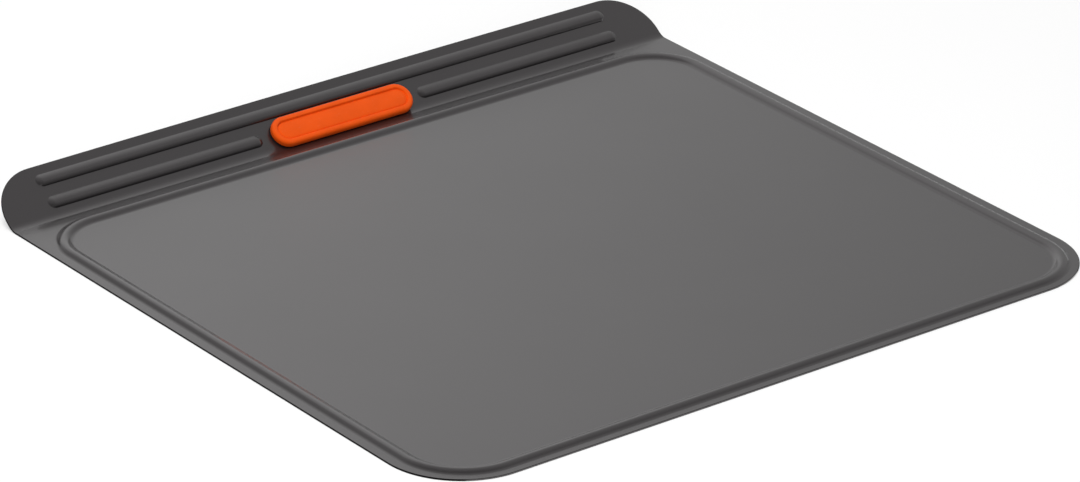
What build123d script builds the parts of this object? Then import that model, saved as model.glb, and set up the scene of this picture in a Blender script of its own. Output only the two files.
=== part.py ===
from build123d import *
import os
from math import atan, cos, degrees, radians, sin, tan

# A flat steel cookie sheet, lying on its underside. One edge is bent up as a flange and carries a
# silicone grip. X runs along that edge, Y from the open front edge towards it, and Z up. The origin
# is on the surface that the sheet lies on, under the middle of the whole sheet.

# Steel sheet
sheet_width = 380.0
panel_depth = 332.7  # from the front edge to the line where the flange bends up
front_corner_radius = 39.0
sheet_gauge = 0.9
edge_break = 0.2

# Bead, a ridge pressed up in the steel all round the baking surface
side_rim = 4.2  # flat steel between the bead and the side edges
front_rim = 3.2
back_strip = 7.2  # flat steel between the bead and the bend line
bead_outer = 4.1  # from the bead's crest out to its foot
bead_inner = 5.0  # from its crest in to the baking surface
bead_height = 1.75
bead_back_radius = 27.0
bead_foot_share = 0.5  # how much of the bead's rounding is hollow, at its foot

# Flange, measured up its slope from the bend line
flange_angle = 36.0
bend_radius = 8.0
flange_side_straight = 4.7  # side edge below the round corner
flange_top_margin = 4.4  # flat steel above the upper rib
flange_bow = 0.5  # the top edge swells this much towards its middle

# Ribs, pressed up in the flange in two rows
rib_width = 7.0
rib_height = 1.35
rib_foot_share = 0.2
rib_bend_gap = 1.9  # from the bend to the lower ribs
rib_row_gap = 1.35  # from the grip to the upper rib
rib_grip_gap = 5.2  # from each end of the grip to the rib beside it
rib_end_margin = 0.4  # from the ribs' outer ends to where the flange's corner begins

# Silicone grip, an upper pad and a lower pad joined by a neck through a slot in the flange
grip_length = 80.4
grip_width = 15.9
grip_height = 4.0  # above the flange
grip_top_round = 1.7
grip_foot_rise = 0.8  # the pad's sides begin this high, and clear the bend
grip_foot_reach = 3.05  # how far they overhang the pad's flat underside
grip_foot_round = 0.4
grip_border_flat = 1.2  # top of the rolled border, between its outer and inner rounds
grip_border_round = 0.4  # inner round of the border, down into the recess
recess_wall = 0.1
recess_round = 0.3  # round where the recess's wall meets its floor
grip_seat = 2.4  # how far the upper pad's underside reaches past the neck
grip_bend_gap = 0.1  # from the bend to the upper pad's underside
neck_clearance = 0.1
lower_pad_lip = 1.8
lower_pad_flat = 0.5
lower_pad_round = 1.0

overrun = 1.0  # how far every cut runs past what it cuts

# Rows on the flange, and how long they make it
tilt = radians(flange_angle)
bend_run = bend_radius * tan(tilt / 2)
pad_seat_width = grip_width - 2 * grip_foot_reach
grip_row = bend_run + grip_bend_gap + pad_seat_width / 2
lower_row = bend_run + rib_bend_gap + rib_width / 2
upper_row = grip_row + (grip_width + rib_width) / 2 + rib_row_gap
flange_length = upper_row + rib_width / 2 + flange_top_margin
flange_crown = flange_length + flange_bow
flange_corner_radius = flange_length - flange_side_straight

# The whole sheet's depth, and where its front edge and bend line lie
sheet_depth = panel_depth + flange_crown * cos(tilt) + sheet_gauge * sin(tilt)
front_y = -sheet_depth / 2
bend_y = front_y + panel_depth
flange_face = Plane((0, bend_y, sheet_gauge), x_dir=(1, 0, 0), z_dir=(0, -sin(tilt), cos(tilt)))
flange_back = flange_face.offset(-sheet_gauge)

# Line of the bead's crest
bead_x = sheet_width / 2 - side_rim - bead_outer
bead_front_y = front_y + front_rim + bead_outer
bead_back_y = bend_y - back_strip - bead_outer
bead_front_radius = front_corner_radius - side_rim - bead_outer

# Ends of the ribs, and the neck and its slot
rib_outer_x = sheet_width / 2 - flange_corner_radius - rib_end_margin
rib_inner_x = grip_length / 2 + rib_grip_gap
neck_length = grip_length - 2 * (grip_foot_reach + grip_seat)
neck_width = pad_seat_width - 2 * grip_seat
recess_inset = grip_top_round + grip_border_flat + grip_border_round
recess_depth = grip_border_round + recess_wall + recess_round


def slope_point(distance, depth=0):
    """Point of the side view, a distance up the flange and a depth below its upper face."""
    return (
        bend_y + distance * cos(tilt) + depth * sin(tilt),
        sheet_gauge + distance * sin(tilt) - depth * cos(tilt),
    )


def ridge_half(reach, height, foot_share):
    """Half the section of a ridge pressed up in the steel, from its crest out to its foot."""
    skin = sheet_gauge / 2
    turn = 2 * atan(height / reach)
    radii = reach / sin(turn)
    foot_radius = radii * foot_share
    crest_radius = radii - foot_radius
    crest_centre = (0, skin + height - crest_radius)
    foot_centre = (reach, skin + foot_radius)
    turn = degrees(turn)
    with BuildSketch() as half:
        with BuildLine():
            CenterArc(crest_centre, crest_radius + skin, 90 - turn, turn)
            CenterArc(foot_centre, foot_radius - skin, 270 - turn, turn)
            Line((reach, sheet_gauge), (reach, 0))
            CenterArc(foot_centre, foot_radius + skin, 270 - turn, turn)
            CenterArc(crest_centre, crest_radius - skin, 90 - turn, turn)
            Line((0, height), (0, height + sheet_gauge))
        make_face()
    return half.sketch


def bead_loop(offset=0):
    """Closed line along the bead, moved outward from its crest, starting halfway along the front."""
    side_x = bead_x + offset
    near_y = bead_front_y - offset
    far_y = bead_back_y + offset
    near_radius = bead_front_radius + offset
    far_radius = bead_back_radius + offset
    corners = [(0, near_y), (side_x, near_y), (side_x, far_y), (-side_x, far_y), (-side_x, near_y)]
    FilletPolyline(corners, radius=[0, near_radius, far_radius, far_radius, near_radius], close=True)


def flange_slot(middle_x, row, length, width):
    """Solid that cuts a round-ended slot through the flange."""
    with BuildSketch(flange_back.offset(-overrun)) as slot:
        with Locations((middle_x, row)):
            SlotOverall(length, width)
    return extrude(slot.sketch, amount=sheet_gauge + 2 * overrun, mode=Mode.PRIVATE)


def press_rib(start_x, end_x, row):
    """Presses one round-ended rib up out of the flange."""
    reach = rib_width / 2
    add(flange_slot((start_x + end_x) / 2, row, end_x - start_x, rib_width), mode=Mode.SUBTRACT)
    ends = [flange_back.from_local_coords((x, row, 0)) for x in (start_x + reach, end_x - reach)]
    sections = [Plane(end, x_dir=flange_back.y_dir, z_dir=flange_back.x_dir) for end in ends]
    half = ridge_half(reach, rib_height, rib_foot_share)
    with BuildSketch(sections[0]) as middle:
        add(half)
        mirror(about=Plane.YZ)
    extrude(middle.sketch, amount=end_x - start_x - rib_width)
    for end, section, up in zip(ends, sections, (flange_back.z_dir, -flange_back.z_dir)):
        revolve(section * half, axis=Axis(end, up), revolution_arc=180)


# The flange laid flat: straight sides, round corners and a bowed top edge
half_width = sheet_width / 2
with BuildSketch() as flange_outline:
    with BuildLine():
        left, right = (-half_width, flange_length), (half_width, flange_length)
        Polyline(left, (-half_width, 0), (half_width, 0), right)
        ThreePointArc(right, (0, flange_crown), left)
    make_face()
    fillet(flange_outline.vertices().filter_by(lambda corner: corner.Y > 0), flange_corner_radius)

with BuildPart() as steel_sheet:
    # The whole sheet in side view, bent up at the handle edge
    tip = flange_crown + overrun
    with BuildSketch(Plane.YZ):
        with BuildLine():
            upper = FilletPolyline(
                (front_y, sheet_gauge), (bend_y, sheet_gauge), slope_point(tip), radius=bend_radius
            )
            lower = FilletPolyline(
                (front_y, 0),
                (bend_y + sheet_gauge * tan(tilt / 2), 0),
                slope_point(tip, sheet_gauge),
                radius=bend_radius + sheet_gauge,
            )
            Line(upper @ 0, lower @ 0)
            Line(upper @ 1, lower @ 1)
        make_face()
    extrude(amount=half_width, both=True)
    fillet(steel_sheet.edges().filter_by(Axis.Z).group_by(Axis.Y)[0], front_corner_radius)

    # Steel outside the flange's outline
    with BuildSketch(flange_back.offset(-overrun)):
        Rectangle(sheet_width + 2 * overrun, tip + overrun, align=(Align.CENTER, Align.MIN))
        add(flange_outline.sketch, mode=Mode.SUBTRACT)
    extrude(amount=sheet_gauge + 2 * overrun, mode=Mode.SUBTRACT)

    # Broken edges all round, above and below
    skins = steel_sheet.faces().filter_by(lambda face: face.area > sheet_gauge * sheet_width)
    fillet(skins.edges().filter_by(lambda edge: edge.length < sheet_width - overrun), edge_break)

    # The bead takes the place of a strip of flat steel
    with BuildSketch(Plane.XY.offset(-overrun)):
        with BuildLine():
            bead_loop(bead_outer)
        make_face()
        with BuildLine():
            bead_loop(-bead_inner)
        make_face(mode=Mode.SUBTRACT)
    extrude(amount=sheet_gauge + 2 * overrun, mode=Mode.SUBTRACT)
    with BuildLine():
        bead_loop()
    with BuildSketch(Plane((0, bead_front_y, 0), x_dir=(0, 1, 0), z_dir=(1, 0, 0))):
        add(ridge_half(bead_inner, bead_height, bead_foot_share))
        mirror(ridge_half(bead_outer, bead_height, bead_foot_share), about=Plane.YZ)
    sweep()

    # One rib along the flange, and one each side of the grip
    press_rib(-rib_outer_x, rib_outer_x, upper_row)
    press_rib(-rib_outer_x, -rib_inner_x, lower_row)
    press_rib(rib_inner_x, rib_outer_x, lower_row)
    add(
        flange_slot(0, grip_row, neck_length + 2 * neck_clearance, neck_width + 2 * neck_clearance),
        mode=Mode.SUBTRACT,
    )

with BuildPart() as silicone_grip:
    across_flange = Axis(flange_face.origin, flange_face.z_dir)

    # Upper pad, rounded above and cut back under its sides
    with BuildSketch(flange_face):
        with Locations((0, grip_row)):
            SlotOverall(grip_length, grip_width)
    extrude(amount=grip_height)
    underside = silicone_grip.faces().sort_by(across_flange)[0]
    chamfer(underside.edges(), grip_foot_reach, grip_foot_rise, reference=underside)
    foot, overhang_seams, side_foot = silicone_grip.edges().group_by(across_flange)[:3]
    fillet(side_foot, grip_foot_round)
    fillet(silicone_grip.edges().group_by(across_flange)[-1], grip_top_round)

    # Shallow recess in its top, inside a rolled border
    with BuildSketch(flange_face.offset(grip_height)):
        with Locations((0, grip_row)):
            SlotOverall(grip_length - 2 * recess_inset, grip_width - 2 * recess_inset)
    extrude(amount=-recess_depth, mode=Mode.SUBTRACT)
    base, floor, border = silicone_grip.faces().filter_by(flange_face).sort_by(across_flange)
    fillet(floor.edges(), recess_round)
    fillet(border.inner_wires()[0].edges(), grip_border_round)

    # Neck down through the slot, and the lower pad
    with BuildSketch(flange_face):
        with Locations((0, grip_row)):
            SlotOverall(neck_length, neck_width)
    extrude(amount=-sheet_gauge)
    with BuildSketch(flange_back):
        with Locations((0, grip_row)):
            SlotOverall(neck_length + 2 * lower_pad_lip, neck_width + 2 * lower_pad_lip)
    extrude(amount=-lower_pad_flat - lower_pad_round)
    fillet(silicone_grip.edges().group_by(across_flange)[0], lower_pad_round)

steel_sheet.part.label = "steel_sheet"
silicone_grip.part.label = "silicone_grip"

os.makedirs("parts", exist_ok=True)
for piece in (steel_sheet, silicone_grip):
    export_step(piece.part, f"parts/{piece.part.label}.step")
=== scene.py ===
from math import atan, cos, pi, radians, sin, tan
from types import SimpleNamespace

import bmesh
import bpy
from bpy.props import FloatProperty, FloatVectorProperty, PointerProperty
from mathutils import Matrix, Vector


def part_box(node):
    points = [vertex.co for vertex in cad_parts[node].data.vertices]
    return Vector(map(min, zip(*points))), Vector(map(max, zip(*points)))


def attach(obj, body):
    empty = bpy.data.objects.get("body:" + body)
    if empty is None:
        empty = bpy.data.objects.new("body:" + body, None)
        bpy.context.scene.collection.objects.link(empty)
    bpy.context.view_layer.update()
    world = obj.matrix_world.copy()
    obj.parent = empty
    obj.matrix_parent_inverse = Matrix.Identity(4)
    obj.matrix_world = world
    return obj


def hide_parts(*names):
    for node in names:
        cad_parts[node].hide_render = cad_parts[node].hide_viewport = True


bl_info = {
    "name": "Cookie Sheet",
    "version": (1, 0, 0),
    "blender": (4, 5, 0),
    "location": "3D View > Sidebar > Cookie Sheet",
    "description": "Makes a coated steel sheet and its silicone grip, in a white studio",
    "category": "Object",
}

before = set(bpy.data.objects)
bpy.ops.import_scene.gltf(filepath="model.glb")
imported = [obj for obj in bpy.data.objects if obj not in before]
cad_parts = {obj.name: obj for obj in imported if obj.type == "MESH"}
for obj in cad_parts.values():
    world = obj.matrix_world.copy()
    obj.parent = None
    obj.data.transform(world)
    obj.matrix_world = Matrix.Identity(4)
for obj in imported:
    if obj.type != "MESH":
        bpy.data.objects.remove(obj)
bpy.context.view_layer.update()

BODY = "root"
MM = 0.001

# How finely the pieces are cut into faces
CORNER_STEPS = 28
RIDGE_STEPS = 9
BEND_STEPS = 10
BOW_STEPS = 36
END_STEPS = 30
ROUND_STEPS = 8
BREAK_STEPS = 3
CROWN_STEPS = 6
ROOM_STEPS = 48
WELD = 0.01 * MM
SHARP_ANGLE = radians(60)
LARGE_FACES_FIRST = 100

# Sizes of the marks on the coating, and where each comes in as its noise or ridge rises
CLOUD_SIZE = 60 * MM
RIPPLE_SIZE = 1.6 * MM
GRAIN_SIZE = 0.22 * MM
GRAIN_BAND = (0.3, 0.7)
RUB_SIZE = 9 * MM
RUB_BAND = (0.35, 0.7)
RUBBED_CREST = (0.75, 1.0)
SCUFF_TURN = radians(24)
SCUFF_LENGTH = 14 * MM
SCUFF_WIDTH = 0.35 * MM
SCUFF_BAND = (0.66, 0.74)
SCUFF_PATCHES = (0.42, 0.62)

# The coating's tones as shares of its colour, and how far rubbing and scuffs reach the worn one
GRAIN_DARK, GRAIN_LIGHT = 0.93, 1.07
WORN_TONE = 1.6
# The sheared edges' tone is partly their dull finish and partly painted shade, for edges that stand in
# shadow
EDGE_SHADE_TONE = 0.06
RUBBED_SHARE = 0.35
SCUFFED_SHARE = 0.12

# What each mark adds to the coating's roughness, and how far it stands up or sinks in
ROUGH_SHIFT = 0.03
CLOUD_ROUGH = 0.05
GRAIN_ROUGH = 0.04
RUBBED_SMOOTH = 0.08
SCUFF_ROUGH = 0.06
EDGE_ROUGH = 0.3
RIPPLE_RISE = 0.6
GRAIN_RISE = 0.12
SCUFF_DROP = 0.3
COATING_BUMP = 0.25
COATING_RELIEF = 0.01 * MM

# The same for the silicone: its clouds, its moulded texture and its specks
SILICONE_CLOUD_SIZE = 12 * MM
SILICONE_CLOUD_BAND = (0.35, 0.65)
SILICONE_DARK, SILICONE_LIGHT = 0.96, 1.03
TEXTURE_SIZE = 0.18 * MM
TEXTURE_ROUGH = 0.1
SPECK_SIZE = 0.7 * MM
SPECK_BAND = (0.74, 0.8)
SPECK_COLOUR = (0.9, 0.5, 0.35, 1)
SPECK_SHARE = 0.05
SILICONE_BUMP = 0.3
SILICONE_RELIEF = 0.02 * MM
SILICONE_SHINE = 0.25

# How far the floor lies below the sheet, its tone as it lights the object, and how it looks where seen
FLOOR_GAP = 0.02 * MM
FLOOR_TONE = (0.8, 0.8, 0.8, 1)
FLOOR_SHADE = (0.5, 0.5, 0.5, 1)
FLOOR_GLOW = 0.5

# How bright the room is, from behind the viewer at 0 to the brightest place, behind the sheet, at 1
ROOM_GLOW = (
    (0.0, 0.22), (0.3, 0.22), (0.45, 0.26), (0.61, 0.34),
    (0.73, 0.48), (0.85, 0.5), (0.93, 0.46), (1.0, 0.44),
)
# How the room dims towards the floor: from where to where, as the sine of the height, and what is left
ROOM_DIMMING = (-0.05, 0.36)
ROOM_LOWEST = 0.25

# Where the card fades, as shares of its side from its middle: at its edges, across it and at its foot
CARD_EDGE = (0.3, 0.5)
CARD_FADE = (-0.16, 0.22)
CARD_FOOT = (-0.22, -0.06)

# The lamps' places and the length of their sides in metres, and the width of the camera's sensor
KEY_PLACE = (-0.5, 0.0, 1.9)
FILL_PLACE = (-0.9, -1.5, 0.4)
LAMP_SIZE = 1.0
SENSOR_WIDTH = 36


def length(name, description, millimetres):
    """A size in metres, whose default is given in millimetres."""
    return FloatProperty(
        name=name, description=description, subtype="DISTANCE", unit="LENGTH", precision=4,
        default=millimetres * MM,
    )


def share(name, description, default):
    """A number from 0 to 1."""
    return FloatProperty(
        name=name, description=description, subtype="FACTOR", min=0, max=1, default=default
    )


def colour(name, description, default):
    """A colour, as red, green and blue."""
    return FloatVectorProperty(
        name=name, description=description, subtype="COLOR", min=0, max=1, default=default
    )


def angle(name, description, degrees):
    """An angle, whose default is given in degrees."""
    return FloatProperty(
        name=name, description=description, subtype="ANGLE", unit="ROTATION", default=radians(degrees)
    )


def number(name, description, default, unit="NONE"):
    """A brightness, a power or a lens."""
    return FloatProperty(name=name, description=description, unit=unit, default=default)


class SheetSettings(bpy.types.PropertyGroup):
    """Sizes and finish of the coated steel sheet"""

    gauge: length("Gauge", "Thickness of the steel", 0.9)
    edge_break: length("Edge break", "Rounding of the steel's edges", 0.2)
    panel_depth: length("Panel depth", "From the front edge to where the flange bends up", 332.7)
    front_corner: length("Front corner", "Radius of the two front corners", 39)
    side_rim: length("Side rim", "Flat steel between the bead and the side edges", 4.2)
    front_rim: length("Front rim", "Flat steel between the bead and the front edge", 3.2)
    back_strip: length("Back strip", "Flat steel between the bead and the bend", 7.2)
    bead_outer: length("Bead outer side", "From the bead's crest out to its foot", 4.1)
    bead_inner: length("Bead inner side", "From the bead's crest in to the baking surface", 5)
    bead_height: length("Bead height", "Height of the ridge round the baking surface", 1.75)
    bead_foot: share("Bead foot", "Share of the bead's rounding that is hollow, at its foot", 0.5)
    bead_back_corner: length("Bead back corner", "Radius of the bead's two back corners", 27)
    flange_angle: angle("Flange angle", "How far the flange is bent up", 36)
    bend_radius: length("Bend radius", "Inner radius of the bend", 8)
    flange_side: length("Flange side", "Straight side edge below the flange's round corner", 4.7)
    flange_top: length("Flange top", "Flat steel above the upper rib", 4.4)
    flange_bow: length("Flange bow", "How much the top edge swells towards its middle", 0.45)
    rib_width: length("Rib width", "Width of the flange's ribs", 7)
    rib_height: length("Rib height", "Height of the flange's ribs", 1.35)
    rib_lean: share("Rib lean", "How far the ribs' crests lean down the flange, per height", 0.65)
    rib_bend_gap: length("Rib to bend", "From the bend to the lower ribs", 1.9)
    rib_row_gap: length("Rib to grip, above", "From the grip to the upper rib", 1.35)
    rib_grip_gap: length("Rib to grip, beside", "From each end of the grip to the rib beside it", 5.2)
    rib_end_gap: length("Rib to corner", "From the ribs' outer ends to the round corner's start", 0.4)
    rib_foot: share("Rib foot", "Share of the ribs' rounding that is hollow, at their foot", 0.2)
    coating: colour("Coating", "Colour of the nonstick coating", (0.066, 0.06, 0.062))
    coating_metal: share("Metal in the coating", "How much of the coating's shine is metallic", 0.8)
    coating_roughness: share("Coating roughness", "Roughness of the coating under its gloss", 0.36)
    gloss: share("Gloss", "Strength of the coating's clear gloss", 1)
    gloss_roughness: share("Gloss roughness", "Roughness of the coating's clear gloss", 0.13)
    wear: share("Wear", "How far the ridges are rubbed and the surface scuffed", 0.35)


class GripSettings(bpy.types.PropertyGroup):
    """Sizes and finish of the silicone grip"""

    length: length("Length", "Length of the upper pad", 80.4)
    width: length("Width", "Width of the upper pad", 15.9)
    height: length("Height", "Height of the upper pad above the flange", 4)
    top_round: length("Top round", "Rounding of the upper pad's top edge", 1.7)
    foot_rise: length("Foot rise", "How high the upper pad's side begins above the flange", 0.8)
    foot_reach: length("Foot reach", "How far the upper pad overhangs its flat underside", 3.05)
    foot_round: length("Foot round", "Rounding between the side and the overhang", 0.5)
    border: length("Border", "Width of the rolled border round the recess", 2.95)
    border_round: length("Border round", "Rounding of the border down into the recess", 0.6)
    recess_depth: length("Recess depth", "Depth of the recess inside the border", 0.8)
    recess_round: length("Recess round", "Rounding where the recess meets its floor", 0.25)
    recess_slope: length("Recess slope", "How far the recess's wall leans", 0.5)
    recess_crown: length("Recess crown", "How much the recess's floor swells in its middle", 0.5)
    groove: length("Groove", "Depth of the groove round the recess's floor", 0.4)
    bend_gap: length("Gap to the bend", "From the bend to the upper pad's underside", 0.1)
    seat: length("Seat", "How far the upper pad's underside reaches past the neck", 2.4)
    lip: length("Lip", "How far the lower pad reaches past the neck", 1.8)
    lower_pad: length("Lower pad", "Thickness of the lower pad", 1.5)
    lower_round: length("Lower round", "Rounding of the lower pad's edge", 1)
    silicone: colour("Silicone", "Colour of the silicone", (0.83, 0.09, 0.004))
    silicone_roughness: share("Silicone roughness", "Roughness of the silicone", 0.6)


class StudioSettings(bpy.types.PropertyGroup):
    """The floor, the room, the card, the lamps and the camera"""

    camera_turn: angle("Camera turn", "How far round to the left of the front the camera stands", 37.322)
    camera_height: angle("Camera height", "Angle at which the camera looks down", 24.961)
    camera_roll: angle("Camera roll", "Turn of the camera about its own line of sight", 0.229)
    camera_distance: length("Camera distance", "From the camera to what it looks at", 2958.7)
    camera_aim: FloatVectorProperty(
        name="Camera aim", description="Point that the camera looks at", subtype="TRANSLATION",
        default=(-2.535 * MM, 0.47 * MM, 0.9 * MM),
    )
    camera_lens: number("Lens", "Focal length in millimetres", 215.28)
    room_light: number("Room light", "Brightness of the room, where 1 is white", 1.08)
    room_radius: length("Room radius", "From the sheet to the room's walls", 9000)
    glow_height: angle("Glow height", "How high the room's brightest place is above the floor", 20)
    key_power: number("Key", "Power of the lamp overhead", 23.5, "POWER")
    fill_power: number("Fill", "Power of the lamp in front", 13.5, "POWER")
    card_size: length("Card size", "Length of the card's sides", 2400)
    card_distance: length("Card distance", "From the middle of the sheet to the card", 1300)
    card_glow: number("Card glow", "Brightness that the card adds, where 1 is white", 0.42)
    floor_size: length("Floor size", "Length of the floor's sides", 12000)


def sheet_layout(sheet, grip):
    """Where the sheet's lines run, worked out from its sizes and the frame."""
    low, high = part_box("steel_sheet")
    bend_y = low.y + sheet.panel_depth
    bend_run = sheet.bend_radius * tan(sheet.flange_angle / 2)
    seat_width = grip.width - 2 * grip.foot_reach
    grip_row = bend_run + grip.bend_gap + seat_width / 2
    upper_row = grip_row + (grip.width + sheet.rib_width) / 2 + sheet.rib_row_gap
    flange_length = upper_row + sheet.rib_width / 2 + sheet.flange_top
    flange_corner = flange_length - sheet.flange_side
    flange_foot = Matrix.Translation((0, bend_y, sheet.gauge))
    return SimpleNamespace(
        half_width=high.x,
        front_y=low.y,
        bend_y=bend_y,
        bend_run=bend_run,
        slope=flange_foot @ Matrix.Rotation(sheet.flange_angle, 4, "X"),
        grip_row=grip_row,
        lower_row=bend_run + sheet.rib_bend_gap + sheet.rib_width / 2,
        upper_row=upper_row,
        flange_length=flange_length,
        flange_corner=flange_corner,
        rib_outer_x=high.x - flange_corner - sheet.rib_end_gap,
        rib_inner_x=grip.length / 2 + sheet.rib_grip_gap,
        neck_length=grip.length - 2 * (grip.foot_reach + grip.seat),
        neck_width=seat_width - 2 * grip.seat,
    )


def round_corner(bm, vert, radius, steps):
    """Rounds the corner at a vertex to a radius."""
    one, other = (edge.other_vert(vert).co - vert.co for edge in vert.link_edges)
    bmesh.ops.bevel(
        bm, geom=[vert], offset=radius / tan(one.angle(other) / 2), offset_type="OFFSET",
        segments=steps, profile=0.5, affect="VERTICES", material=-1, clamp_overlap=False,
    )


def rounded_face(bm, corners):
    """One flat face through corners given as x, y and radius."""
    others = set(bm.faces)
    verts = [bm.verts.new((x, y, 0)) for x, y, radius in corners]
    bm.faces.new(verts)
    for vert, (x, y, radius) in zip(verts, corners):
        if radius:
            round_corner(bm, vert, radius, CORNER_STEPS)
    return next(face for face in bm.faces if face not in others)


def slot_face(bm, x, y, slot_length, slot_width):
    """One flat face with round ends: a circle whose halves are moved apart."""
    steps = 2 * END_STEPS
    half_step = Matrix.Rotation(pi / steps, 4, "Z")
    disc = bmesh.ops.create_circle(
        bm, cap_ends=True, segments=steps, radius=slot_width / 2, matrix=half_step
    )["verts"]
    reach = (slot_length - slot_width) / 2
    for vert in disc:
        vert.co.x += x + (reach if vert.co.x > 0 else -reach)
        vert.co.y += y
    return disc[0].link_faces[0]


def leave_edges(bm, face):
    """Takes a face away and keeps its edges."""
    bmesh.ops.delete(bm, geom=[face], context="FACES_ONLY")


def ridge_steps(reach, height, foot_share, gauge):
    """Steps inward and upward from a ridge's foot to its crest: a hollow arc, then a round one."""
    turn = 2 * atan(height / reach)
    angles = [turn * step / RIDGE_STEPS for step in range(RIDGE_STEPS + 1)]
    radii = reach / sin(turn)
    # The share holds for the middle of the steel, half a gauge below this skin
    hollow = radii * foot_share - gauge / 2
    crest = radii - hollow
    points = [(hollow * sin(a), hollow * (1 - cos(a))) for a in angles]
    points += [(reach - crest * sin(a), height - crest * (1 - cos(a))) for a in reversed(angles[:-1])]
    return [(b[0] - a[0], b[1] - a[1]) for a, b in zip(points, points[1:])]


def press_ridge(bm, face, steps, lean=0.0):
    """Insets and lifts a face step by step into a ridge, and marks how high each ring of it is."""
    crest = bm.verts.layers.float["crest"]
    height = sum(rise for inward, rise in steps if rise > 0)
    level = 0
    for inward, rise in steps:
        bmesh.ops.inset_region(
            bm, faces=[face], thickness=inward, use_boundary=True, use_even_offset=True
        )
        bmesh.ops.translate(bm, verts=face.verts, vec=(0, -rise * lean, rise))
        level += rise
        for vert in face.verts:
            vert[crest] = level / height


def fill_flat(bm, others):
    """Fills the flat steel between an outline and the ridges and holes inside it."""
    edges = [edge for edge in bm.edges if edge not in others and not edge.is_manifold]
    bmesh.ops.triangle_fill(bm, edges=edges, use_beauty=True, normal=(0, 0, 1))


def press_flange(bm, sheet, place):
    """The flange laid flat, with its ribs and the grip's slot, then turned up onto its slope."""
    leave_edges(bm, rounded_face(bm, [
        (-place.half_width, place.bend_run, 0),
        (place.half_width, place.bend_run, 0),
        (place.half_width, place.flange_length, place.flange_corner),
        (-place.half_width, place.flange_length, place.flange_corner),
    ]))
    top_y = place.flange_length - WELD
    top = [edge for edge in bm.edges if all(vert.co.y > top_y for vert in edge.verts)]
    bmesh.ops.subdivide_edges(bm, edges=top, cuts=BOW_STEPS)
    for vert in bm.verts:
        vert.co.y += sheet.flange_bow * (1 - (vert.co.x / place.half_width) ** 2)
    lower_length = place.rib_outer_x - place.rib_inner_x
    lower_x = place.rib_inner_x + lower_length / 2
    rise = ridge_steps(sheet.rib_width / 2, sheet.rib_height, sheet.rib_foot, sheet.gauge)[:-1]
    for x, row, rib_length in (
        (0, place.upper_row, 2 * place.rib_outer_x),
        (-lower_x, place.lower_row, lower_length),
        (lower_x, place.lower_row, lower_length),
    ):
        press_ridge(bm, slot_face(bm, x, row, rib_length, sheet.rib_width), rise, sheet.rib_lean)
    leave_edges(bm, slot_face(bm, 0, place.grip_row, place.neck_length, place.neck_width))
    fill_flat(bm, others=set())
    bmesh.ops.transform(bm, matrix=place.slope, verts=bm.verts)


def press_panel(bm, sheet, place):
    """The flat panel with its bead, and the bend up to the flange."""
    flange_verts, flange_edges = set(bm.verts), set(bm.edges)
    back_y = place.bend_y - place.bend_run
    leave_edges(bm, rounded_face(bm, [
        (-place.half_width, place.front_y, sheet.front_corner),
        (place.half_width, place.front_y, sheet.front_corner),
        (place.half_width, back_y, 0),
        (-place.half_width, back_y, 0),
    ]))
    back = [
        edge for edge in bm.edges
        if edge not in flange_edges and all(vert.co.y > back_y - WELD for vert in edge.verts)
    ]
    foot_x = place.half_width - sheet.side_rim
    foot_front = place.front_y + sheet.front_rim
    foot_back = place.bend_y - sheet.back_strip
    front_round = sheet.front_corner - sheet.side_rim
    back_round = sheet.bead_back_corner + sheet.bead_outer
    bead = rounded_face(bm, [
        (-foot_x, foot_front, front_round),
        (foot_x, foot_front, front_round),
        (foot_x, foot_back, back_round),
        (-foot_x, foot_back, back_round),
    ])
    outer, inner = (
        ridge_steps(reach, sheet.bead_height, sheet.bead_foot, sheet.gauge)
        for reach in (sheet.bead_outer, sheet.bead_inner)
    )
    press_ridge(bm, bead, outer + [(inward, -up) for inward, up in reversed(inner)])
    fill_flat(bm, others=flange_edges)
    panel_verts = [vert for vert in bm.verts if vert not in flange_verts]
    bmesh.ops.translate(bm, verts=panel_verts, vec=(0, 0, sheet.gauge))
    bmesh.ops.spin(
        bm, geom=back, cent=(0, back_y, sheet.gauge + sheet.bend_radius), axis=(1, 0, 0),
        angle=sheet.flange_angle, steps=BEND_STEPS, use_merge=False,
    )


def give_thickness(bm, sheet, place):
    """Turns the upper skin into steel of one gauge, and breaks and marks its edges."""
    bmesh.ops.recalc_face_normals(bm, faces=bm.faces)
    widest = max(bm.faces, key=lambda face: face.calc_area())
    if widest.normal.z < 0:
        bmesh.ops.reverse_faces(bm, faces=bm.faces)
    bmesh.ops.solidify(bm, geom=bm.faces[:], thickness=sheet.gauge)
    bmesh.ops.recalc_face_normals(bm, faces=bm.faces)
    sharp = [edge for edge in bm.edges if edge.is_manifold and edge.calc_face_angle() > SHARP_ANGLE]
    broken = bmesh.ops.bevel(
        bm, geom=sharp, offset=sheet.edge_break, offset_type="OFFSET", segments=BREAK_STEPS,
        profile=0.5, affect="EDGES", material=-1, clamp_overlap=False,
    )
    ups = Vector((0, 0, 1)), place.slope.to_3x3() @ Vector((0, 0, 1))
    steep = sin(SHARP_ANGLE / 2)
    rims = set(broken["faces"]) | {
        face for face in bm.faces if all(abs(face.normal.dot(up)) < steep for up in ups)
    }
    rim = bm.verts.layers.float["rim"]
    for vert in bm.verts:
        vert[rim] = all(face in rims for face in vert.link_faces)


def new_object(name, data):
    """Puts a mesh, a lamp or a camera in the scene as an object."""
    made = bpy.data.objects.new(name, data)
    bpy.context.scene.collection.objects.link(made)
    return made


def mesh_object(name, bm):
    """Puts a bmesh in the scene as an object."""
    mesh = bpy.data.meshes.new(name)
    bm.to_mesh(mesh)
    bm.free()
    return new_object(name, mesh)


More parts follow.
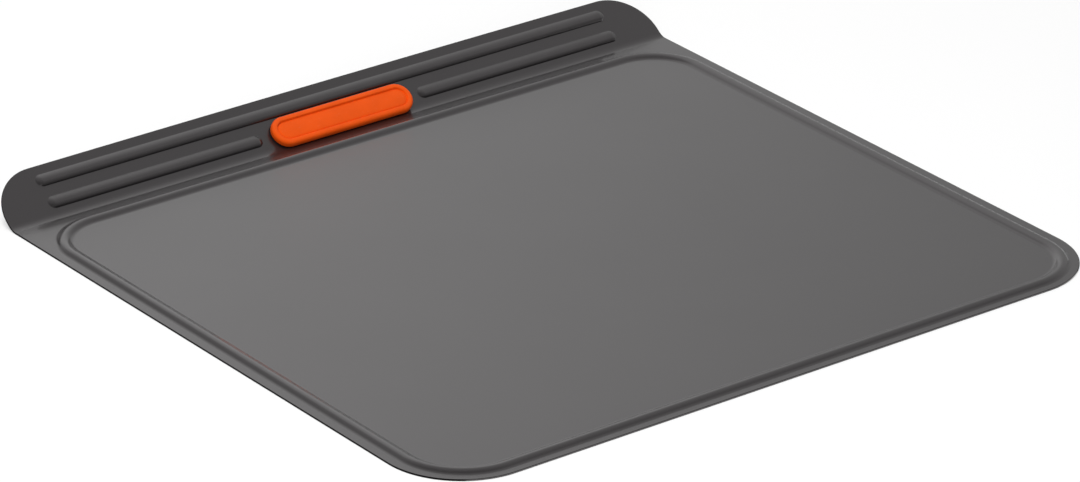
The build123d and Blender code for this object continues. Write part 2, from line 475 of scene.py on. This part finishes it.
def add_piece(name, bm, replaced):
    """Makes a bmesh a piece in place of a CAD node, and shades it by its largest faces."""
    for face in bm.faces:
        face.smooth = True
    piece = mesh_object(name, bm)
    shading = piece.modifiers.new("shading", "WEIGHTED_NORMAL")
    shading.weight = LARGE_FACES_FIRST
    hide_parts(replaced)
    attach(piece, BODY)
    return piece


def build_sheet(sheet, place):
    """The whole steel sheet: its upper skin, then its thickness."""
    bm = bmesh.new()
    bm.verts.layers.float.new("crest")
    bm.verts.layers.float.new("rim")
    press_flange(bm, sheet, place)
    press_panel(bm, sheet, place)
    bmesh.ops.remove_doubles(bm, verts=bm.verts, dist=WELD)
    give_thickness(bm, sheet, place)
    return add_piece("coated_sheet", bm, "steel_sheet")


def grip_section(grip, sheet, place):
    """Half the grip's section as corners: how far across, how high above the flange, and rounding."""
    half = grip.width / 2
    top = grip.height
    floor = top - grip.recess_depth
    recess = half - grip.border
    neck = place.neck_width / 2
    foot = -sheet.gauge - grip.lower_pad
    crown = [
        (recess * part, floor + grip.recess_crown * (1 - part**2), 0)
        for part in (step / CROWN_STEPS for step in range(CROWN_STEPS))
    ]
    return crown + [
        (recess - grip.recess_slope / 2, floor - grip.groove, grip.recess_round),
        (recess + grip.recess_slope / 2, top, grip.border_round),
        (half, top, grip.top_round),
        (half, grip.foot_rise, grip.foot_round),
        (half - grip.foot_reach, 0, 0),
        (neck, 0, 0),
        (neck, -sheet.gauge, 0),
        (neck + grip.lip, -sheet.gauge, 0),
        (neck + grip.lip, foot, grip.lower_round),
        (0, foot, 0),
    ]


def build_grip(grip, sheet, place):
    """The grip: half its section, spun round each end and drawn along each side."""
    bm = bmesh.new()
    reach = (grip.length - grip.width) / 2
    corners = grip_section(grip, sheet, place)
    verts = [bm.verts.new((reach, across, up)) for across, up, radius in corners]
    for one, other in zip(verts, verts[1:]):
        bm.edges.new((one, other))
    for vert, (across, up, radius) in zip(verts, corners):
        if radius:
            round_corner(bm, vert, radius, ROUND_STEPS)
    line = bm.verts[:] + bm.edges[:]
    for side in (1, -1):
        end = bmesh.ops.spin(
            bm, geom=line, cent=(side * reach, 0, 0), axis=(0, 0, 1), angle=-pi, steps=END_STEPS,
            use_merge=False,
        )["geom_last"]
        edges = [part for part in end if isinstance(part, bmesh.types.BMEdge)]
        line = bmesh.ops.extrude_edge_only(bm, edges=edges)["geom"]
        line = [part for part in line if not isinstance(part, bmesh.types.BMFace)]
        moved = [part for part in line if isinstance(part, bmesh.types.BMVert)]
        bmesh.ops.translate(bm, verts=moved, vec=(-2 * side * reach, 0, 0))
    bmesh.ops.remove_doubles(bm, verts=bm.verts, dist=WELD)
    bmesh.ops.recalc_face_normals(bm, faces=bm.faces)
    seat = place.slope @ Matrix.Translation((0, place.grip_row, 0))
    bmesh.ops.transform(bm, matrix=seat, verts=bm.verts)
    return add_piece("moulded_grip", bm, "silicone_grip")


class Wire:
    """An output in a node tree. Sums on it add Math nodes, and node() adds any other kind."""

    def __init__(self, tree, socket=None):
        self.tree = tree
        self.socket = socket

    def node(self, kind, inputs=None, out=0, stops=None, **settings):
        """Adds a node with its settings, then its inputs' values or links, and gives one output."""
        made = self.tree.nodes.new(kind)
        for name, value in settings.items():
            setattr(made, name, value)
        if stops:
            for place, tone in stops[1:-1]:
                made.color_ramp.elements.new(place)
            for stop, (place, tone) in zip(made.color_ramp.elements, stops):
                stop.position = place
                stop.color = (tone, tone, tone, 1)
        for key, value in (inputs or {}).items():
            shown = [socket for socket in made.inputs if socket.enabled]
            socket = shown[key] if isinstance(key, int) else next(s for s in shown if s.name == key)
            if isinstance(value, Wire):
                self.tree.links.new(value.socket, socket)
            else:
                socket.default_value = value
        shown = [socket for socket in made.outputs if socket.enabled]
        found = [socket for key, socket in enumerate(shown) if out in (key, socket.name)]
        return Wire(self.tree, found[0] if found else None)

    def maths(self, operation, *values):
        return self.node("ShaderNodeMath", dict(enumerate(values)), operation=operation)

    def __add__(self, other):
        return self.maths("ADD", self, other)

    def __sub__(self, other):
        return self.maths("SUBTRACT", self, other)

    def __rsub__(self, other):
        return self.maths("SUBTRACT", other, self)

    def __mul__(self, other):
        return self.maths("MULTIPLY", self, other)

    __radd__ = __add__
    __rmul__ = __mul__

    def noise(self, size, detail=2.0):
        """Noise about 0.5 over this place, whose blotches are about one size across."""
        return self.node("ShaderNodeTexNoise", {"Vector": self, "Scale": 1 / size, "Detail": detail})

    def stretched(self, turn, along, across):
        """This place measured in lengths along and across a direction, for marks that run one way."""
        turned = self.node("ShaderNodeMapping", {"Vector": self, "Rotation": (0, 0, turn)})
        lengths = (1 / along, 1 / across, 1 / across)
        return self.node("ShaderNodeVectorMath", {0: turned, 1: lengths}, operation="MULTIPLY")

    def ramp(self, low, high, start=0.0, end=1.0):
        """This value as a smooth step from start to end between low and high."""
        inputs = {"Value": self, "From Min": low, "From Max": high, "To Min": start, "To Max": end}
        return self.node("ShaderNodeMapRange", inputs, interpolation_type="SMOOTHSTEP")

    def tint(self, one, other):
        """A mix of two colours, by this value."""
        return self.node("ShaderNodeMix", {"Factor": self, "A": one, "B": other}, data_type="RGBA")


def new_material(name):
    """A material with no nodes yet, and a Wire to build them on."""
    material = bpy.data.materials.new(name)
    material.use_nodes = True
    material.node_tree.nodes.clear()
    return material, Wire(material.node_tree)


def finish_surface(wire, shader):
    """Links a material's last shader to its output."""
    wire.node("ShaderNodeOutputMaterial", {"Surface": shader})


def rgba(tone, gain=1.0):
    """A colour setting as a socket's value, made lighter or darker."""
    return (*(channel * gain for channel in tone), 1)


def coating_material(sheet):
    """Semi-gloss nonstick coating: fine grain and ripple, rubbed ridges, and dull sheared edges,
    darkened nearly to black partly as painted shade.
    """
    material, wire = new_material("nonstick_coating")
    where = wire.node("ShaderNodeTexCoord", out="Object")
    crest = wire.node("ShaderNodeAttribute", attribute_name="crest", out="Fac")
    rim = wire.node("ShaderNodeAttribute", attribute_name="rim", out="Fac")
    cloud = where.noise(CLOUD_SIZE)
    ripple = where.noise(RIPPLE_SIZE, detail=1.0)
    grain = where.noise(GRAIN_SIZE)
    streaks = where.stretched(SCUFF_TURN, SCUFF_LENGTH, SCUFF_WIDTH).noise(1, detail=1.0)
    marks = streaks.ramp(*SCUFF_BAND) * cloud.ramp(*SCUFF_PATCHES) * sheet.wear
    rubbed = crest.ramp(*RUBBED_CREST) * where.noise(RUB_SIZE).ramp(*RUB_BAND) * sheet.wear
    dark, light = rgba(sheet.coating, GRAIN_DARK), rgba(sheet.coating, GRAIN_LIGHT)
    tone = grain.ramp(*GRAIN_BAND).tint(dark, light)
    tone = (rubbed * RUBBED_SHARE + marks * SCUFFED_SHARE).tint(tone, rgba(sheet.coating, WORN_TONE))
    # Sheared edges darkened nearly to black: partly a dull finish, partly painted shade of the edges in
    # shadow
    tone = rim.tint(tone, rgba(sheet.coating, EDGE_SHADE_TONE))
    rough = (sheet.coating_roughness - ROUGH_SHIFT) + cloud * CLOUD_ROUGH + grain * GRAIN_ROUGH
    rough = rough - rubbed * RUBBED_SMOOTH + marks * SCUFF_ROUGH + rim * EDGE_ROUGH
    height = ripple * RIPPLE_RISE + grain * GRAIN_RISE - marks * SCUFF_DROP
    relief = wire.node(
        "ShaderNodeBump", {"Height": height, "Strength": COATING_BUMP, "Distance": COATING_RELIEF}
    )
    shader = wire.node("ShaderNodeBsdfPrincipled", {
        "Base Color": tone, "Metallic": sheet.coating_metal, "Roughness": rough, "Normal": relief,
        "Coat Weight": sheet.gloss * (1 - rim), "Coat Roughness": sheet.gloss_roughness,
    })
    finish_surface(wire, shader)
    return material


def silicone_material(grip):
    """Matte moulded silicone: a fine mould texture, faint clouding and pale specks."""
    material, wire = new_material("moulded_silicone")
    where = wire.node("ShaderNodeTexCoord", out="Object")
    cloud = where.noise(SILICONE_CLOUD_SIZE)
    texture = where.noise(TEXTURE_SIZE)
    specks = where.noise(SPECK_SIZE, detail=0.0).ramp(*SPECK_BAND)
    dark, light = rgba(grip.silicone, SILICONE_DARK), rgba(grip.silicone, SILICONE_LIGHT)
    tone = cloud.ramp(*SILICONE_CLOUD_BAND).tint(dark, light)
    tone = (specks * SPECK_SHARE).tint(tone, SPECK_COLOUR)
    rough = (grip.silicone_roughness - TEXTURE_ROUGH / 2) + texture * TEXTURE_ROUGH
    relief = wire.node(
        "ShaderNodeBump", {"Height": texture, "Strength": SILICONE_BUMP, "Distance": SILICONE_RELIEF}
    )
    shader = wire.node("ShaderNodeBsdfPrincipled", {
        "Base Color": tone, "Roughness": rough, "Normal": relief, "Specular IOR Level": SILICONE_SHINE,
    })
    finish_surface(wire, shader)
    return material


def floor_material():
    """White floor: as white as the backdrop where it is seen, and it lights the object as paper does."""
    material, wire = new_material("white_floor")
    camera = wire.node("ShaderNodeLightPath", out="Is Camera Ray")
    glossy = wire.node("ShaderNodeLightPath", out="Is Glossy Ray")
    through = wire.node("ShaderNodeLightPath", out="Is Transmission Ray")
    unseen = wire.node("ShaderNodeBsdfDiffuse", {"Color": FLOOR_TONE})
    glow = wire.node("ShaderNodeEmission", {"Strength": FLOOR_GLOW})
    shade = wire.node("ShaderNodeBsdfDiffuse", {"Color": FLOOR_SHADE})
    seen = wire.node("ShaderNodeAddShader", {0: glow, 1: shade})
    mixed = wire.node("ShaderNodeMixShader", {0: camera + glossy + through, 1: unseen, 2: seen})
    finish_surface(wire, mixed)
    return material


def make_floor(studio):
    """A square of white floor, just below the sheet."""
    bm = bmesh.new()
    bmesh.ops.create_grid(
        bm, x_segments=1, y_segments=1, size=studio.floor_size / 2,
        matrix=Matrix.Translation((0, 0, -FLOOR_GAP)),
    )
    floor = mesh_object("floor", bm)
    floor.data.materials.append(floor_material())


def make_world():
    """A plain white world, which shows behind the object."""
    world = bpy.data.worlds.new("studio")
    bpy.context.scene.world = world
    world.use_nodes = True
    world.node_tree.nodes.clear()
    wire = Wire(world.node_tree)
    light = wire.node("ShaderNodeBackground", {"Color": (1, 1, 1, 1), "Strength": 1.0})
    wire.node("ShaderNodeOutputWorld", {"Surface": light})
    bpy.context.scene.view_settings.view_transform = "Standard"


def room_material(studio):
    """The room's light: brightest low down behind the sheet, fading towards the viewer and the floor."""
    material, wire = new_material("room_light")
    where = wire.node("ShaderNodeTexCoord", out="Object")
    towards = wire.node("ShaderNodeVectorMath", {0: where}, operation="NORMALIZE")
    turn, height = studio.camera_turn, studio.glow_height
    aim = (sin(turn) * cos(height), cos(turn) * cos(height), sin(height))
    nearness = wire.node(
        "ShaderNodeVectorMath", {0: towards, 1: aim}, operation="DOT_PRODUCT", out="Value"
    )
    # The nearness runs from -1 to 1, and the ramp reads from 0 to 1
    glow = wire.node("ShaderNodeValToRGB", {0: nearness * 0.5 + 0.5}, stops=ROOM_GLOW)
    up = wire.node("ShaderNodeSeparateXYZ", {0: towards}, out="Z")
    tone = glow * up.ramp(*ROOM_DIMMING, ROOM_LOWEST, 1.0)
    light = wire.node("ShaderNodeEmission", {"Strength": tone * studio.room_light})
    finish_surface(wire, light)
    material.cycles.emission_sampling = "NONE"
    return material


def make_room(studio):
    """A dome that lights the sheet and shows in its gloss, and that the camera sees through."""
    bm = bmesh.new()
    bmesh.ops.create_uvsphere(
        bm, u_segments=ROOM_STEPS, v_segments=ROOM_STEPS // 2, radius=studio.room_radius
    )
    bmesh.ops.reverse_faces(bm, faces=bm.faces)
    room = mesh_object("room", bm)
    room.visible_camera = False
    room.data.materials.append(room_material(studio))


def card_material(studio):
    """Light that the card adds to what is behind it: it fades towards its right and all its edges."""
    material, wire = new_material("graded_card")
    where = wire.node("ShaderNodeTexCoord", out="Object")
    across = wire.node("ShaderNodeSeparateXYZ", {0: where}, out="X")
    up = wire.node("ShaderNodeSeparateXYZ", {0: where}, out="Y")
    across_edge = wire.maths("ABSOLUTE", across).ramp(*CARD_EDGE, 1.0, 0.0)
    up_edge = wire.maths("ABSOLUTE", up).ramp(*CARD_EDGE, 1.0, 0.0)
    tone = across.ramp(*CARD_FADE, 1.0, 0.0) * across_edge * up_edge * up.ramp(*CARD_FOOT)
    clear = wire.node("ShaderNodeBsdfTransparent")
    glow = wire.node("ShaderNodeEmission", {"Strength": tone * studio.card_glow})
    finish_surface(wire, wire.node("ShaderNodeAddShader", {0: clear, 1: glow}))
    return material


def make_card(studio, view_right, towards):
    """A card that only reflections show, where the baking surface mirrors it to the camera."""
    bm = bmesh.new()
    bmesh.ops.create_grid(bm, x_segments=1, y_segments=1, size=0.5)
    card = mesh_object("card", bm)
    up = view_right.cross(towards)
    facing = Matrix((view_right, up, view_right.cross(up))).transposed().to_4x4()
    standing = Matrix.Translation(towards * studio.card_distance) @ facing
    card.matrix_world = standing @ Matrix.Scale(studio.card_size, 4)
    card.visible_camera = False
    card.visible_shadow = False
    card.data.materials.append(card_material(studio))


def add_lamp(name, place, power):
    """A square lamp that faces the sheet, and that neither the camera nor a reflection shows."""
    data = bpy.data.lights.new(name, "AREA")
    data.size = LAMP_SIZE
    data.energy = power
    lamp = new_object(name, data)
    facing = Vector(place).to_track_quat("Z", "Y").to_matrix().to_4x4()
    facing.translation = place
    lamp.matrix_world = facing
    lamp.visible_camera = False
    lamp.visible_glossy = False


def make_camera(studio):
    """The camera, from its turn, height, roll and distance about the point that it looks at."""
    data = bpy.data.cameras.new("camera")
    data.lens = studio.camera_lens
    data.sensor_width = SENSOR_WIDTH
    data.sensor_fit = "HORIZONTAL"
    camera = new_object("camera", data)
    turn, height = studio.camera_turn, studio.camera_height
    back = Vector((-sin(turn) * cos(height), -cos(turn) * cos(height), sin(height)))
    right = (-back).cross(Vector((0, 0, 1))).normalized()
    facing = Matrix((right, right.cross(-back), back)).transposed().to_4x4()
    view = facing @ Matrix.Rotation(studio.camera_roll, 4, "Z")
    view.translation = Vector(studio.camera_aim) + back * studio.camera_distance
    camera.matrix_world = view
    bpy.context.scene.camera = camera
    return view


class COOKIE_SHEET_OT_sheet(bpy.types.Operator):
    """Makes the coated steel sheet with its bead, bend, flange and ribs"""

    bl_idname = "cookie_sheet.sheet"
    bl_label = "Steel Sheet"

    def execute(self, context):
        scene = context.scene
        place = sheet_layout(scene.cookie_sheet_steel, scene.cookie_sheet_grip)
        piece = build_sheet(scene.cookie_sheet_steel, place)
        piece.data.materials.append(coating_material(scene.cookie_sheet_steel))
        return {"FINISHED"}


class COOKIE_SHEET_OT_grip(bpy.types.Operator):
    """Makes the silicone grip"""

    bl_idname = "cookie_sheet.grip"
    bl_label = "Silicone Grip"

    def execute(self, context):
        scene = context.scene
        place = sheet_layout(scene.cookie_sheet_steel, scene.cookie_sheet_grip)
        piece = build_grip(scene.cookie_sheet_grip, scene.cookie_sheet_steel, place)
        piece.data.materials.append(silicone_material(scene.cookie_sheet_grip))
        return {"FINISHED"}


class COOKIE_SHEET_OT_studio(bpy.types.Operator):
    """Makes the floor, the room, the lamps, the camera and the card"""

    bl_idname = "cookie_sheet.studio"
    bl_label = "Studio"

    def execute(self, context):
        studio = context.scene.cookie_sheet_studio
        make_floor(studio)
        make_world()
        make_room(studio)
        add_lamp("key", KEY_PLACE, studio.key_power)
        add_lamp("fill", FILL_PLACE, studio.fill_power)
        view = make_camera(studio)
        sight = -view.col[2].xyz
        # The flat sheet turns the camera's line of sight upwards, and the card stands across that line
        mirrored = Vector((sight.x, sight.y, -sight.z))
        make_card(studio, view.col[0].xyz, mirrored)
        return {"FINISHED"}


class COOKIE_SHEET_PT_panel(bpy.types.Panel):
    """Lists the pieces, the studio and their settings"""

    bl_idname = "COOKIE_SHEET_PT_panel"
    bl_label = "Cookie Sheet"
    bl_space_type = "VIEW_3D"
    bl_region_type = "UI"
    bl_category = "Cookie Sheet"

    def draw(self, context):
        for operator, group in STEPS:
            box = self.layout.box()
            box.operator(operator)
            settings = getattr(context.scene, group)
            for name in settings.bl_rna.properties.keys():
                if name not in ("rna_type", "name"):
                    box.prop(settings, name)


GROUPS = {
    "cookie_sheet_steel": SheetSettings,
    "cookie_sheet_grip": GripSettings,
    "cookie_sheet_studio": StudioSettings,
}
STEPS = (
    ("cookie_sheet.sheet", "cookie_sheet_steel"),
    ("cookie_sheet.grip", "cookie_sheet_grip"),
    ("cookie_sheet.studio", "cookie_sheet_studio"),
)
CLASSES = (
    *GROUPS.values(),
    COOKIE_SHEET_OT_sheet, COOKIE_SHEET_OT_grip, COOKIE_SHEET_OT_studio, COOKIE_SHEET_PT_panel,
)


def register():
    for each in CLASSES:
        bpy.utils.register_class(each)
    for name, group in GROUPS.items():
        setattr(bpy.types.Scene, name, PointerProperty(type=group))


def unregister():
    for name in GROUPS:
        delattr(bpy.types.Scene, name)
    for each in reversed(CLASSES):
        bpy.utils.unregister_class(each)


def main():
    register()
    bpy.ops.cookie_sheet.sheet()
    bpy.ops.cookie_sheet.grip()
    bpy.ops.cookie_sheet.studio()


if __name__ == "__main__":
    main()
